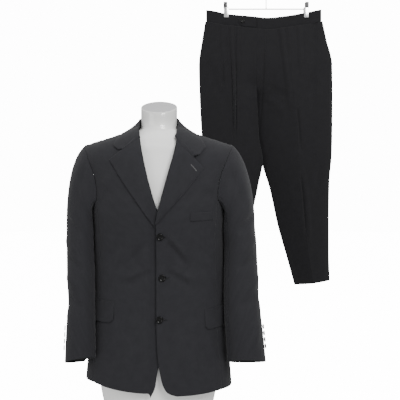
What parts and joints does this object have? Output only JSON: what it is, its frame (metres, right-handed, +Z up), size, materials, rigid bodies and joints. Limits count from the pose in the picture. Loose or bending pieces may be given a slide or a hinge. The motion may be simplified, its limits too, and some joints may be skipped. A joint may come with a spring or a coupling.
{
  "type": "suit on a torso form with trousers on a clip hanger",
  "caption": "Dark suit: a notch-lapel jacket on a limbless torso form, with matching pleated trousers hanging from a clip hanger behind it.",
  "frame": {"origin": "middle of the torso form's flat foot", "axes": "+Z up, the jacket's front looks along -Y, the wearer's left is +X"},
  "size_m": [0.8752, 0.7616, 1.3891],
  "materials": {
    "jacket_cloth": "matt charcoal wool",
    "trouser_cloth": "matt near-black wool",
    "button_horn": "polished dark horn",
    "form_white": "glossy white",
    "clip_chrome": "polished",
    "grip_dark": "satin black"
  },
  "bodies": {
    "root": {"back_left": "jacket_cloth", "back_right": "jacket_cloth", "breast_welt": "jacket_cloth", "button_1": "button_horn", "button_2": "button_horn", "button_3": "button_horn", "clip_grip_back_left": "grip_dark", "clip_grip_back_right": "grip_dark", "clip_grip_front_left": "grip_dark", "clip_grip_front_right": "grip_dark", "clip_jaw_left": "clip_chrome", "clip_jaw_right": "clip_chrome", "collar": "jacket_cloth", "cuff_button_left_1": "button_horn", "cuff_button_left_2": "button_horn", "cuff_button_left_3": "button_horn", "cuff_button_left_4": "button_horn", "cuff_button_right_1": "button_horn", "cuff_button_right_2": "button_horn", "cuff_button_right_3": "button_horn", "cuff_button_right_4": "button_horn", "flap_left": "jacket_cloth", "flap_right": "jacket_cloth", "front_left": "jacket_cloth", "front_right": "jacket_cloth", "hanger_bar": "grip_dark", "hanger_hook": "clip_chrome", "lapel_left": "jacket_cloth", "lapel_right": "jacket_cloth", "side_left": "jacket_cloth", "side_right": "jacket_cloth", "sleeve_top_left": "jacket_cloth", "sleeve_top_right": "jacket_cloth", "sleeve_under_left": "jacket_cloth", "sleeve_under_right": "jacket_cloth", "torso_form": "form_white", "trouser_back_left": "trouser_cloth", "trouser_back_right": "trouser_cloth", "trouser_front_left": "trouser_cloth", "trouser_front_right": "trouser_cloth", "waist_button": "button_horn", "waist_tab": "trouser_cloth", "waistband_left": "trouser_cloth", "waistband_right": "trouser_cloth"}
  },
  "joints": []
}
